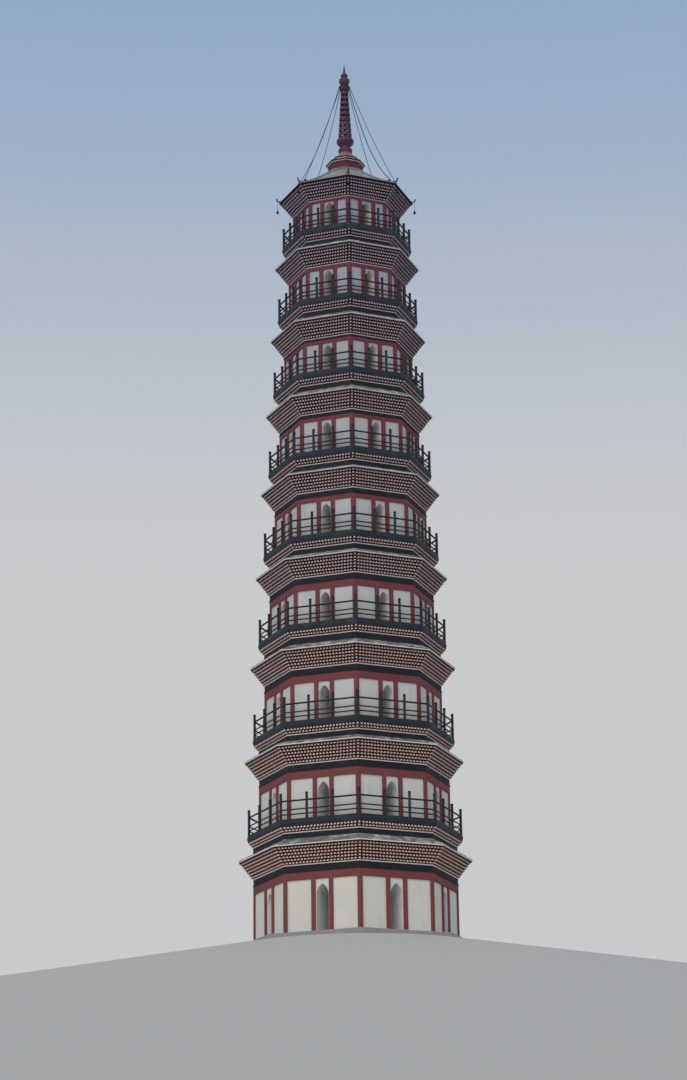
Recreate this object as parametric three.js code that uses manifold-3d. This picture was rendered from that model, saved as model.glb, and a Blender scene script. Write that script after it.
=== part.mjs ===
// Octagonal brick pagoda of nine storeys with a ringed spire, as a half-size model.
// Millimetres, +Z up. The origin is the centre of the plinth's underside, and the
// front, like every other face with an axis-parallel normal, looks along -Y.
import * as THREE from "three";
import { mergeVertices } from "three/addons/utils/BufferGeometryUtils.js";
import Module from "manifold-3d";

// Driving dimensions. A radius of an octagon is measured to its corners.
const STOREYS = 9;
const SIDES = 8;
const GAP = 0.3;

const PLINTH_STEPS = 3;
const PLINTH_STEP_RISE = 100;
const PLINTH_STEP_GOING = 170;
const PLINTH_TOP_RADIUS = 3560;

// Heights of the eaves' tips and of the storeys' floors, each list from the ground up.
const EAVE_TIPS = [2780, 5660, 8450, 11190, 13805, 16280, 18710, 21090, 23290];
const DECKS = [300, 3515, 6340, 9210, 11885, 14480, 17020, 19430, 21780];

const EAVE_RADIUS = 3000;
const EAVE_RADIUS_LOSS = 170;
const EAVE_RADIUS_CURVE = 2.3;
const WALL_RADIUS = 2580;
const WALL_RADIUS_LOSS = 165;
const WALL_RADIUS_CURVE = 1.5;
const MEASURED_STOREY = 3;
const INNER_WALL_RATIO = 0.6;

const CORBEL_HEIGHT = 545;
const TOP_CORBEL_HEIGHT = 500;
const CORBEL_COURSES = 4;
const EAVE_EDGE = 50;
const SKIRT_UNDER_DECK = 518;
const DARK_BAND_UNDER_DECK = 367;
const FASCIA_UNDER_DECK = 202;
const FASCIA_LIP = 12;
const FASCIA_OVER_WALL = 340;
const FASCIA_WIDTH = 130;
const FLOOR_THICKNESS = 150;

// Heights of the red lintels and the dark friezes over them, each list from the ground up.
const LINTELS = [215, 215, 215, 195, 138, 110, 106, 100, 62];
const FRIEZES = [190, 190, 186, 175, 152, 100, 56, 0, 0];
const FRAME_DEPTH = 40;
const CORNER_PILASTER = 82;
const PILASTER = 124;
const BAY_RATIO = 0.177;
const BAY_LEAST = 312;
const BAY_OVER_DOOR = 40;
const APEX_UNDER_LINTEL = 110;
const APEX_RISE = 14;
const DOOR_ARCH_RISE_RATIO = 0.85;
const ARCH_SEGMENTS = 3;

const POST_HEIGHT = 725;
const POST_HEIGHT_LOSS = 15;
const POST_SIZE = 76;
const POST_INSET = 56;
const TOP_RAIL_RATIO = 0.7;
const RAIL_SIZE = 44;

const ROOF_EDGE = 30;
const ROOF_RISE = 925;
const ROOF_TOP_RADIUS = 545;
const ROOF_CURVE_POWER = 1.3;
const ROOF_CURVE_STEPS = 6;
const ROOF_VAULT_RISE = 560;
const ROOF_VAULT_RADIUS = 300;

const HIP_HEIGHT = 60;
const HIP_WIDTH = 80;
const HIP_COLLAR_WIDTH = 60;
const ANCHOR_RATIO = 0.88;
const ANCHOR_SIZE = 60;
const ANCHOR_SINK = 20;
const HORN_ROOT = 60;
const HORN_REACH = 75;
const HORN_RISE = 105;
const HORN_BAR = 15;
const HORN_STEPS = 4;
const BELL_REACH = 50;
const BELL_DROP = 262;
const BELL_HEIGHT = 95;
const BELL_RADIUS = 46;
const BELL_WAIST_RATIO = 0.62;
const BELL_WAIST_HEIGHT_RATIO = 0.35;
const BELL_SHOULDER_RATIO = 0.5;
const BELL_WIRE = 8;
const BELL_SIDES = 6;

// Heights in the spire are measured from the top eave's tips, where its drum, base, mast
// and finial stand on one another.
const DRUM_RADIUS = 540;
const DRUM_CORNICE_RADIUS = 608;
const DRUM_NECK_RADIUS = 432;
const DRUM_CAP_RADIUS = 452;
const DRUM_TOP = 1447;
const SPIRE_BASE_TOP = 2275;
const SPIRE_TIP = 4830;

const RINGS = 9;
const RING_PITCH = 181;
const RING_HEIGHT = 118;
const FIRST_RING_HEIGHT = 2333;
const FIRST_RING_RADIUS = 207;
const LAST_RING_RADIUS = 122;
const RING_WIDTH = 38;
const SPOKE_SIZE = 24;
const MAST_RADIUS = 42;
const ROUND_SEGMENTS = 12;

// One sag for each stay, turning anticlockwise from the hip that is 22.5 degrees east of the
// front: how far the middle of its curve is pulled below the straight line.
const STAY_SAGS = [250, 1050, 450, 600, 300, 800, 1150, 200];
const STAY_RADIUS = 11;
const STAY_SIDES = 6;
const STAY_STEPS = 6;
const STAY_COLLAR_WIDTH = 12;
const STAY_COLLAR_HEIGHT = 30;
const DISC_RADIUS = 163;
const DISC_EDGE_HEIGHT = 3990;

const EIGHTH = (2 * Math.PI) / SIDES;
const FLAT_PER_CORNER = Math.cos(EIGHTH / 2);

const wasm = await Module();
wasm.setup();

// The heights and radii of one storey, counted from 1 at the ground.
function storeyAt(number) {
  const above = number - MEASURED_STOREY;
  const wall = WALL_RADIUS - WALL_RADIUS_LOSS * above + WALL_RADIUS_CURVE * above * above;
  const eave = EAVE_RADIUS - EAVE_RADIUS_LOSS * above + EAVE_RADIUS_CURVE * above * above;
  return {
    number,
    tip: EAVE_TIPS[number - 1],
    deck: DECKS[number - 1],
    corbel: number === STOREYS ? TOP_CORBEL_HEIGHT : CORBEL_HEIGHT,
    wall,
    eave,
    flat: wall * FLAT_PER_CORNER,
    side: 2 * wall * Math.sin(EIGHTH / 2),
    inner: wall * INNER_WALL_RATIO,
    fascia: wall + FASCIA_OVER_WALL,
    post: POST_HEIGHT - POST_HEIGHT_LOSS * above,
    frieze: FRIEZES[number - 1],
    lintel: LINTELS[number - 1],
    apexDrop: APEX_UNDER_LINTEL - APEX_RISE * above,
  };
}

const storeys = Array.from({ length: STOREYS }, (_, index) => storeyAt(index + 1));
const top = storeys[STOREYS - 1];
for (const storey of storeys) {
  storey.corbelFoot = storey.tip - storey.corbel;
  storey.wallTop = storey.corbelFoot - storey.frieze;
  storey.lintelFoot = storey.wallTop - storey.lintel;
  storey.bay = Math.max(BAY_LEAST, storey.side * BAY_RATIO);
  storey.door = storey.bay - BAY_OVER_DOOR;
  storey.apex = storey.lintelFoot - storey.apexDrop;
}

// A closed geometry as a solid that can be joined and cut.
function solidOf(geometry) {
  const bare = geometry.clone();
  bare.deleteAttribute("normal");
  bare.deleteAttribute("uv");
  const merged = mergeVertices(bare, 1e-3);
  return new wasm.Manifold(
    new wasm.Mesh({
      numProp: 3,
      vertProperties: merged.attributes.position.array,
      triVerts: Uint32Array.from(merged.index.array),
    }),
  );
}

// The geometry of a solid, with flat faces.
function geometryOf(solid) {
  const mesh = solid.getMesh();
  const positions = new Float32Array(mesh.numVert * 3);
  for (let vertex = 0; vertex < mesh.numVert; vertex++) {
    const first = vertex * mesh.numProp;
    positions.set(mesh.vertProperties.subarray(first, first + 3), vertex * 3);
  }
  const indexed = new THREE.BufferGeometry();
  indexed.setAttribute("position", new THREE.BufferAttribute(positions, 3));
  indexed.setIndex(new THREE.BufferAttribute(Uint32Array.from(mesh.triVerts), 1));
  const geometry = indexed.toNonIndexed();
  geometry.computeVertexNormals();
  return geometry;
}

// An outline of [radius, height] points turned about Z: eight-sided, or round.
function turned(outline, segments = SIDES) {
  const points = outline.map(([radius, height]) => new THREE.Vector2(radius, height));
  const start = segments === SIDES ? EIGHTH / 2 : 0;
  return new THREE.LatheGeometry(points, segments, start).rotateX(Math.PI / 2);
}

// A closed ring between two radii and two heights.
function ringOutline(inner, outer, bottom, ceiling) {
  return [
    [inner, bottom],
    [outer, bottom],
    [outer, ceiling],
    [inner, ceiling],
    [inner, bottom],
  ];
}

// A box given by its middle across, its extent outwards and its extent upwards.
function box(across, width, from, to, bottom, ceiling) {
  const geometry = new THREE.BoxGeometry(width, to - from, ceiling - bottom);
  return geometry.translate(across, -(from + to) / 2, (bottom + ceiling) / 2);
}

// Solids made for the front, repeated about Z on all eight sides.
function aroundSides(makeGeometry, offset = 0) {
  return Array.from({ length: SIDES }, (_, side) =>
    solidOf(makeGeometry(side).rotateZ(offset + side * EIGHTH)),
  );
}

function joined(solids) {
  return solids.reduce((whole, piece) => whole.add(piece));
}

function without(solid, cutters) {
  return cutters.reduce((rest, cutter) => rest.subtract(cutter), solid);
}

const pagoda = new THREE.Group();

function addPiece(name, geometry, colour, roughness = 0.8, metalness = 0) {
  const material = new THREE.MeshStandardMaterial({ color: colour, roughness, metalness });
  const mesh = new THREE.Mesh(geometry, material);
  mesh.name = name;
  pagoda.add(mesh);
}

const COLOURS = {
  plaster: 0xcdcdc6,
  red: 0x7a3639,
  brick: 0xb9aba4,
  dark: 0x262a33,
  mortar: 0x8a8e93,
  spire: 0x64323c,
  steel: 0x6c7278,
  stone: 0x8f8c86,
};

// Plinth: three stone steps all round, whose top is the ground storey's floor.
const plinthOutline = [[0, 0]];
for (let step = 0; step < PLINTH_STEPS; step++) {
  const radius = PLINTH_TOP_RADIUS + (PLINTH_STEPS - 1 - step) * PLINTH_STEP_GOING;
  plinthOutline.push([radius, step * PLINTH_STEP_RISE]);
  plinthOutline.push([radius, (step + 1) * PLINTH_STEP_RISE]);
}
plinthOutline.push([0, PLINTH_STEPS * PLINTH_STEP_RISE]);
addPiece("plinth", turned(plinthOutline), COLOURS.stone);

// Pointed doorway: two straight jambs under two arcs that meet at the apex.
function doorShape(width, springing, rise) {
  const half = width / 2;
  const offset = (rise * rise - half * half) / width;
  const radius = half + offset;
  const sweep = Math.atan2(rise, offset);
  const shape = new THREE.Shape();
  shape.moveTo(-half, 0);
  shape.lineTo(half, 0);
  shape.lineTo(half, springing);
  shape.absarc(-offset, springing, radius, 0, sweep, false);
  shape.absarc(offset, springing, radius, Math.PI - sweep, Math.PI, false);
  shape.lineTo(-half, 0);
  return shape;
}

// Wall: a brick octagon up to its frieze, with a pointed doorway through every side.
function wallSolid(storey) {
  const skin = storey.wall - FRAME_DEPTH / FLAT_PER_CORNER - GAP;
  const ring = turned(
    ringOutline(storey.inner, skin, storey.deck + GAP, storey.wallTop - GAP),
  );
  const rise = storey.door * DOOR_ARCH_RISE_RATIO;
  const shape = doorShape(storey.door, storey.apex - storey.deck - rise, rise);
  const length = 2 * storey.wall;
  const cutters = [];
  for (let pair = 0; pair < SIDES / 2; pair++) {
    const cutter = new THREE.ExtrudeGeometry(shape, {
      depth: length,
      bevelEnabled: false,
      curveSegments: ARCH_SEGMENTS,
    });
    cutter.rotateX(Math.PI / 2).translate(0, length / 2, storey.deck);
    cutters.push(solidOf(cutter.rotateZ(pair * EIGHTH)));
  }
  return without(solidOf(ring), cutters);
}

// Frame: red corner pilasters, two pilasters beside each doorway and a lintel band.
function frameSolid(storey) {
  const inner = storey.wall - FRAME_DEPTH / FLAT_PER_CORNER;
  const ring = turned(
    ringOutline(inner, storey.wall, storey.deck + GAP, storey.wallTop - GAP),
  );
  const panelFrom = storey.bay / 2 + PILASTER;
  const panelTo = storey.side / 2 - CORNER_PILASTER;
  const panelWidth = panelTo - panelFrom;
  const from = storey.flat - 2 * FRAME_DEPTH;
  const to = storey.flat + FRAME_DEPTH;
  const bottom = storey.deck - FRAME_DEPTH;
  const cut = (across, width) =>
    aroundSides(() => box(across, width, from, to, bottom, storey.lintelFoot));
  const middle = (panelFrom + panelTo) / 2;
  return without(solidOf(ring), [
    ...cut(0, storey.bay),
    ...cut(-middle, panelWidth),
    ...cut(middle, panelWidth),
  ]);
}

// Eave: a frieze, corbelled courses, a sloping skirt, the dark band, and the next storey's floor.
function eaveOutline(storey, next) {
  const course = (storey.corbel - EAVE_EDGE) / CORBEL_COURSES;
  const step = (storey.eave - storey.wall) / CORBEL_COURSES;
  const courses = storey.frieze ? [[storey.wall, storey.wallTop]] : [];
  for (let row = 0; row < CORBEL_COURSES; row++) {
    const radius = storey.wall + row * step;
    courses.push([radius, storey.corbelFoot + row * course]);
    courses.push([radius + step, storey.corbelFoot + row * course]);
  }
  courses.push([storey.eave, storey.tip]);
  if (!next) {
    return [
      [storey.inner, storey.wallTop],
      ...courses,
      [storey.inner, storey.tip],
      [storey.inner, storey.wallTop],
    ];
  }
  const bandTop = next.deck - DARK_BAND_UNDER_DECK;
  const fasciaBottom = next.deck - FASCIA_UNDER_DECK;
  const rowFoot = (bandTop + fasciaBottom) / 2;
  const rowRadius = (storey.wall + next.fascia) / 2;
  const ceiling = next.deck - FLOOR_THICKNESS;
  return [
    [0, ceiling],
    [storey.inner, ceiling],
    [storey.inner, storey.wallTop],
    ...courses,
    [storey.wall, next.deck - SKIRT_UNDER_DECK],
    [storey.wall, bandTop],
    [rowRadius, bandTop],
    [rowRadius, rowFoot],
    [next.fascia - 2 * FASCIA_LIP, rowFoot],
    [next.fascia - 2 * FASCIA_LIP, fasciaBottom - GAP],
    [next.fascia - FASCIA_WIDTH - GAP, fasciaBottom - GAP],
    [next.fascia - FASCIA_WIDTH - GAP, next.deck],
    [0, next.deck],
  ];
}

// Railing: a fascia ring round the floor, posts on it and the top rail through them.
function railingSolid(storey) {
  const bottom = storey.deck - FASCIA_UNDER_DECK;
  const beamTop = storey.deck + FASCIA_LIP;
  const fascia = ringOutline(storey.fascia - FASCIA_WIDTH, storey.fascia, bottom, beamTop);
  const postRadius = storey.fascia - POST_INSET;
  const railHeight = beamTop + storey.post * TOP_RAIL_RATIO;
  const rail = ringOutline(
    postRadius - RAIL_SIZE / 2,
    postRadius + RAIL_SIZE / 2,
    railHeight - RAIL_SIZE / 2,
    railHeight + RAIL_SIZE / 2,
  );
  const postTop = beamTop + storey.post;
  const post = (across, out) =>
    box(across, POST_SIZE, out - POST_SIZE / 2, out + POST_SIZE / 2, storey.deck - POST_SIZE, postTop);
  const railFlat = postRadius * FLAT_PER_CORNER;
  const third = (2 * postRadius * Math.sin(EIGHTH / 2)) / 3;
  return joined([
    solidOf(turned(fascia)),
    solidOf(turned(rail)),
    ...aroundSides(() => post(0, postRadius), EIGHTH / 2),
    ...aroundSides(() => post(-third / 2, railFlat)),
    ...aroundSides(() => post(third / 2, railFlat)),
  ]);
}

for (const storey of storeys) {
  const next = storeys[storey.number];
  const name = "storey_" + storey.number;
  addPiece(name + "_wall", geometryOf(wallSolid(storey)), COLOURS.plaster);
  addPiece(name + "_frame", geometryOf(frameSolid(storey)), COLOURS.red);
  addPiece(name + "_eave", turned(eaveOutline(storey, next)), COLOURS.brick);
  if (storey.number > 1) {
    addPiece(name + "_railing", geometryOf(railingSolid(storey)), COLOURS.dark, 0.6);
  }
}

// Top roof: a concave eight-sided slope over a shallow vault.
function roofHeight(radius) {
  const climbed = (top.eave - radius) / (top.eave - ROOF_TOP_RADIUS);
  return top.tip + ROOF_EDGE + ROOF_RISE * Math.pow(climbed, ROOF_CURVE_POWER);
}

const roofCurve = [];
for (let step = 0; step <= ROOF_CURVE_STEPS; step++) {
  const radius = top.eave + ((ROOF_TOP_RADIUS - top.eave) * step) / ROOF_CURVE_STEPS;
  roofCurve.push([radius, roofHeight(radius)]);
}
const roofTop = top.tip + ROOF_EDGE + ROOF_RISE;
const roofOutline = [
  [0, top.tip + ROOF_VAULT_RISE],
  [ROOF_VAULT_RADIUS, top.tip + ROOF_VAULT_RISE],
  [top.inner, top.tip + GAP],
  [top.eave, top.tip + GAP],
  ...roofCurve,
  [0, roofTop],
];
addPiece("roof", turned(roofOutline), COLOURS.mortar);

// Hip ridges from the spire's foot to the corners, each with a stay anchor,
// an up-turned horn and a wind bell hung from it, joined by a collar at the top.
const hipStart = DRUM_RADIUS + 3 * GAP;

function hipGeometry() {
  const inner = [hipStart + GAP, roofTop];
  const base = [...roofCurve].reverse();
  const under = [inner, ...base].map(([radius, height]) => new THREE.Vector2(radius, height + GAP));
  const over = [...base, [top.eave, roofHeight(top.eave)]].reverse();
  const upper = over.slice(1).map(([radius, height]) => new THREE.Vector2(radius, height + HIP_HEIGHT));
  const shape = new THREE.Shape([...under, ...upper, new THREE.Vector2(inner[0], inner[1] + HIP_HEIGHT)]);
  const bar = new THREE.ExtrudeGeometry(shape, { depth: HIP_WIDTH, bevelEnabled: false });
  return bar.translate(0, 0, -HIP_WIDTH / 2).rotateX(Math.PI / 2).rotateZ(-Math.PI / 2);
}

function tubeAlong(curve, radius, sides, steps) {
  const section = new THREE.Shape();
  for (let side = 0; side < sides; side++) {
    const angle = (2 * Math.PI * side) / sides;
    const corner = [radius * Math.cos(angle), radius * Math.sin(angle)];
    if (side) section.lineTo(...corner);
    else section.moveTo(...corner);
  }
  return new THREE.ExtrudeGeometry(section, { steps, extrudePath: curve, bevelEnabled: false });
}

const tipHeight = roofHeight(top.eave);

function hornGeometry() {
  const foot = tipHeight + HIP_HEIGHT - HORN_BAR;
  const curve = new THREE.CubicBezierCurve3(
    new THREE.Vector3(0, -(top.eave - HORN_ROOT), foot),
    new THREE.Vector3(0, -(top.eave + HORN_REACH / 2), foot),
    new THREE.Vector3(0, -(top.eave + HORN_REACH), foot),
    new THREE.Vector3(0, -(top.eave + HORN_REACH), tipHeight + HORN_RISE),
  );
  return tubeAlong(curve, HORN_BAR, STAY_SIDES, HORN_STEPS);
}

function bellGeometry() {
  const out = top.eave + BELL_REACH;
  const crown = tipHeight - BELL_DROP;
  const mouth = crown - BELL_HEIGHT;
  const outline = [
    [0, mouth],
    [BELL_RADIUS, mouth],
    [BELL_RADIUS * BELL_WAIST_RATIO, mouth + BELL_HEIGHT * BELL_WAIST_HEIGHT_RATIO],
    [BELL_RADIUS * BELL_SHOULDER_RATIO, crown - BELL_WIRE],
    [BELL_WIRE, crown],
    [BELL_WIRE, tipHeight + HORN_RISE / 2],
    [0, tipHeight + HORN_RISE / 2],
  ];
  return turned(outline, BELL_SIDES).translate(0, -out, 0);
}

const anchorRadius = top.eave * ANCHOR_RATIO;
const anchorTop = roofHeight(anchorRadius) + HIP_HEIGHT + ANCHOR_SIZE;

function anchorGeometry() {
  const half = ANCHOR_SIZE / 2;
  const bottom = anchorTop - ANCHOR_SIZE - ANCHOR_SINK;
  return box(0, ANCHOR_SIZE, anchorRadius - half, anchorRadius + half, bottom, anchorTop);
}

const hipCollar = turned(
  ringOutline(hipStart, hipStart + HIP_COLLAR_WIDTH, roofTop + GAP, roofTop + HIP_HEIGHT),
);
const hips = joined([
  solidOf(hipCollar),
  ...aroundSides(hipGeometry, EIGHTH / 2),
  ...aroundSides(anchorGeometry, EIGHTH / 2),
  ...aroundSides(hornGeometry, EIGHTH / 2),
  ...aroundSides(bellGeometry, EIGHTH / 2),
]);
addPiece("roof_hips_and_bells", geometryOf(hips), COLOURS.dark);

// Spire, from the eight-sided drum to the needle.
const spire = (points) => points.map(([radius, height]) => [radius, top.tip + height]);
const drumBottom = ROOF_EDGE + ROOF_RISE + GAP;
addPiece(
  "spire_drum",
  turned(
    spire([
      [0, drumBottom],
      [DRUM_RADIUS, drumBottom],
      [DRUM_RADIUS, 1190],
      [DRUM_CORNICE_RADIUS, 1243],
      [DRUM_CORNICE_RADIUS, 1290],
      [DRUM_NECK_RADIUS, 1325],
      [DRUM_NECK_RADIUS, 1395],
      [DRUM_CAP_RADIUS, 1401],
      [DRUM_CAP_RADIUS, DRUM_TOP],
      [0, DRUM_TOP],
    ]),
  ),
  COLOURS.spire,
);

addPiece(
  "spire_base",
  turned(
    spire([
      [0, DRUM_TOP + GAP],
      [400, DRUM_TOP + GAP],
      [352, 1510],
      [270, 1606],
      [190, 1725],
      [185, 1742],
      [207, 1782],
      [216, 1824],
      [207, 1868],
      [150, 1932],
      [150, 1958],
      [235, 2055],
      [270, 2124],
      [250, 2188],
      [200, 2238],
      [150, SPIRE_BASE_TOP],
      [0, SPIRE_BASE_TOP],
    ]),
    ROUND_SEGMENTS,
  ),
  COLOURS.spire,
);

// Mast with nine open rings, each held on four spokes.
const mastTop = FIRST_RING_HEIGHT + (RINGS - 1) * RING_PITCH + RING_HEIGHT / 2;

function ringedMast() {
  const mast = turned(
    spire([
      [0, SPIRE_BASE_TOP + GAP],
      [MAST_RADIUS, SPIRE_BASE_TOP + GAP],
      [MAST_RADIUS, mastTop],
      [0, mastTop],
    ]),
    SIDES,
  );
  const pieces = [solidOf(mast)];
  for (let ring = 0; ring < RINGS; ring++) {
    const share = ring / (RINGS - 1);
    const radius = FIRST_RING_RADIUS + (LAST_RING_RADIUS - FIRST_RING_RADIUS) * share;
    const middle = FIRST_RING_HEIGHT + ring * RING_PITCH;
    const hoop = ringOutline(radius - RING_WIDTH, radius, middle - RING_HEIGHT / 2, middle + RING_HEIGHT / 2);
    pieces.push(solidOf(turned(spire(hoop), ROUND_SEGMENTS)));
    for (const turn of [0, Math.PI / 2]) {
      const length = 2 * (radius - RING_WIDTH / 2);
      const spoke = new THREE.BoxGeometry(length, SPOKE_SIZE, SPOKE_SIZE).rotateZ(turn);
      pieces.push(solidOf(spoke.translate(0, 0, top.tip + middle)));
    }
  }
  return joined(pieces);
}
addPiece("spire_mast", geometryOf(ringedMast()), COLOURS.spire);

const finialBottom = mastTop + GAP;
addPiece(
  "spire_finial",
  turned(
    spire([
      [0, finialBottom],
      [90, finialBottom],
      [110, 3855],
      [150, 3890],
      [158, 3930],
      [DISC_RADIUS, 3975],
      [DISC_RADIUS, 4005],
      [125, 4040],
      [100, 4068],
      [148, 4130],
      [166, 4200],
      [148, 4270],
      [70, 4325],
      [112, 4378],
      [98, 4425],
      [50, 4485],
      [24, 4565],
      [10, 4665],
      [8, 4785],
      [0, SPIRE_TIP],
    ]),
    ROUND_SEGMENTS,
  ),
  COLOURS.spire,
);

// Stays: eight cables from a collar on the spire's disc to the anchors on the hips.
function stayGeometry(side) {
  const start = new THREE.Vector3(0, -(DISC_RADIUS + STAY_COLLAR_WIDTH / 2), top.tip + DISC_EDGE_HEIGHT);
  const end = new THREE.Vector3(0, -anchorRadius, anchorTop + STAY_RADIUS);
  const middle = start.clone().lerp(end, 0.5);
  middle.z -= STAY_SAGS[side];
  return tubeAlong(new THREE.QuadraticBezierCurve3(start, middle, end), STAY_RADIUS, STAY_SIDES, STAY_STEPS);
}

const stayCollar = turned(
  ringOutline(
    DISC_RADIUS + 2 * GAP,
    DISC_RADIUS + STAY_COLLAR_WIDTH,
    top.tip + DISC_EDGE_HEIGHT - STAY_COLLAR_HEIGHT / 2,
    top.tip + DISC_EDGE_HEIGHT + STAY_COLLAR_HEIGHT / 2,
  ),
  ROUND_SEGMENTS,
);
const stays = joined([solidOf(stayCollar), ...aroundSides(stayGeometry, EIGHTH / 2)]);
addPiece("spire_stays", geometryOf(stays), COLOURS.steel, 0.5, 0.6);

export default pagoda;
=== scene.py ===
from math import cos, pi, radians, sin, tan

import bmesh
import bpy
from mathutils import Matrix, Vector


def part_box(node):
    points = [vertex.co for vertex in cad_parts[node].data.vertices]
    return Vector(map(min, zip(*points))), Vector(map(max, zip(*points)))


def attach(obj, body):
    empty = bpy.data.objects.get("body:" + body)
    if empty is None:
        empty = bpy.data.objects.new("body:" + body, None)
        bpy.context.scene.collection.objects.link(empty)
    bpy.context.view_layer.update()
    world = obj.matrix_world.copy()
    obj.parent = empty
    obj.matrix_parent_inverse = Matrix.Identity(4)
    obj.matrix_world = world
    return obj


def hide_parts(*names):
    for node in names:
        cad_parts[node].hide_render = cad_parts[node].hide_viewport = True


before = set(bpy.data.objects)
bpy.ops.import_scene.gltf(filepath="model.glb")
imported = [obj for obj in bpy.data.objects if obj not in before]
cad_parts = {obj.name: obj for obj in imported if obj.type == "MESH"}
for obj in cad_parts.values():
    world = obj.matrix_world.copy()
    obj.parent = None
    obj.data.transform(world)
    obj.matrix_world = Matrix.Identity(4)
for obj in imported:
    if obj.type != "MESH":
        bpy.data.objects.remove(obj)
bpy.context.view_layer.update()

scene = bpy.context.scene

# Camera. The photograph was taken from far below the tower's foot, looking up, with one
# corner of the octagon almost straight ahead and a very slight roll.
EYE_DISTANCE = 74.22
EYE_AZIMUTH = radians(20.43)
EYE_BELOW_THIRD_EAVE = 20.014
AXIS_RIGHT_OF_EYE = 0.22
PITCH_UP = radians(17.887)
ROLL = radians(-0.78)
FOCAL_PIXELS = 2635.0
PHOTO_HEIGHT = 1080
SENSOR = 36.0
THIRD_EAVE = 8.45
FARTHEST_SEEN = 600.0

camera_data = bpy.data.cameras.new("camera")
camera_data.sensor_width = SENSOR
camera_data.lens = SENSOR * FOCAL_PIXELS / PHOTO_HEIGHT
camera_data.clip_end = FARTHEST_SEEN
camera = bpy.data.objects.new("camera", camera_data)
scene.collection.objects.link(camera)
scene.camera = camera
eye = Vector((
    EYE_DISTANCE * sin(EYE_AZIMUTH) - AXIS_RIGHT_OF_EYE * cos(EYE_AZIMUTH),
    -EYE_DISTANCE * cos(EYE_AZIMUTH) - AXIS_RIGHT_OF_EYE * sin(EYE_AZIMUTH),
    THIRD_EAVE - EYE_BELOW_THIRD_EAVE,
))
turned = Matrix.Rotation(EYE_AZIMUTH, 4, "Z") @ Matrix.Rotation(pi / 2 + PITCH_UP, 4, "X")
camera.matrix_world = Matrix.Translation(eye) @ turned @ Matrix.Rotation(ROLL, 4, "Z")

# Plinth. Three dressed stone steps all round, their arrises worn a little round. Every
# piece of masonry here is an outline spun into an octagon, or the CAD solid with soft edges.
CORNER = radians(22.5)
SIDES = 8
FLAT_PER_CORNER = cos(CORNER)
WELD = 1e-5
STREAK_SOFTNESS = 0.3
PATCH_SOFTNESS = 0.25
WORN_SMOOTHER = 0.25
SMOOTHEST = 0.2
PLINTH_WEAR = 0.012
FLAT_WITHIN = radians(0.5)


def linear(red, green, blue):
    """A colour picked on a screen, as the renderer's own values."""
    return tuple((channel / 255) ** 2.2 for channel in (red, green, blue)) + (1.0,)


def add_node(tree, kind, **values):
    """A node with some of its properties or input sockets set by name."""
    made = tree.nodes.new(kind)
    for name, value in values.items():
        if hasattr(made, name):
            setattr(made, name, value)
        else:
            made.inputs[name.replace("_", " ")].default_value = value
    return made


def new_group(name, inputs, outputs):
    """An empty shader node group with named number inputs and outputs."""
    tree = bpy.data.node_groups.new(name, "ShaderNodeTree")
    for socket, start in inputs.items():
        made = tree.interface.new_socket(socket, in_out="INPUT", socket_type="NodeSocketFloat")
        made.default_value = start
    for socket in outputs:
        tree.interface.new_socket(socket, in_out="OUTPUT", socket_type="NodeSocketFloat")
    return tree, tree.nodes.new("NodeGroupInput"), tree.nodes.new("NodeGroupOutput")


def use_group(tree, group, **values):
    """A group placed in a material, with its inputs set by name."""
    made = tree.nodes.new("ShaderNodeGroup")
    made.node_tree = group
    for name, value in values.items():
        made.inputs[name].default_value = value
    return made


def rain_streaks_group():
    """Dirt that rain carries down a wall: narrow across, long down."""
    tree, given, result = new_group(
        "rain_streaks", {"Across": 3.0, "Down": 0.4, "Cover": 0.5, "Amount": 0.5}, ["Mask"])
    place = add_node(tree, "ShaderNodeTexCoord")
    size = add_node(tree, "ShaderNodeCombineXYZ")
    stretch = add_node(tree, "ShaderNodeVectorMath", operation="MULTIPLY")
    noise = add_node(tree, "ShaderNodeTexNoise", Scale=1.0, Detail=5.0, Roughness=0.62)
    edge = add_node(tree, "ShaderNodeMath", operation="SUBTRACT")
    edge.inputs[0].default_value = 1.0
    spread = add_node(tree, "ShaderNodeMapRange", interpolation_type="SMOOTHSTEP")
    softer = add_node(tree, "ShaderNodeMath", operation="ADD")
    softer.inputs[1].default_value = STREAK_SOFTNESS
    strength = add_node(tree, "ShaderNodeMath", operation="MULTIPLY")
    link = tree.links.new
    link(given.outputs["Across"], size.inputs["X"])
    link(given.outputs["Across"], size.inputs["Y"])
    link(given.outputs["Down"], size.inputs["Z"])
    link(place.outputs["Object"], stretch.inputs[0])
    link(size.outputs[0], stretch.inputs[1])
    link(stretch.outputs[0], noise.inputs["Vector"])
    link(noise.outputs["Fac"], spread.inputs["Value"])
    link(given.outputs["Cover"], edge.inputs[1])
    link(edge.outputs[0], spread.inputs["From Min"])
    link(edge.outputs[0], softer.inputs[0])
    link(softer.outputs[0], spread.inputs["From Max"])
    link(spread.outputs["Result"], strength.inputs[0])
    link(given.outputs["Amount"], strength.inputs[1])
    link(strength.outputs[0], result.inputs["Mask"])
    return tree


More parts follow.
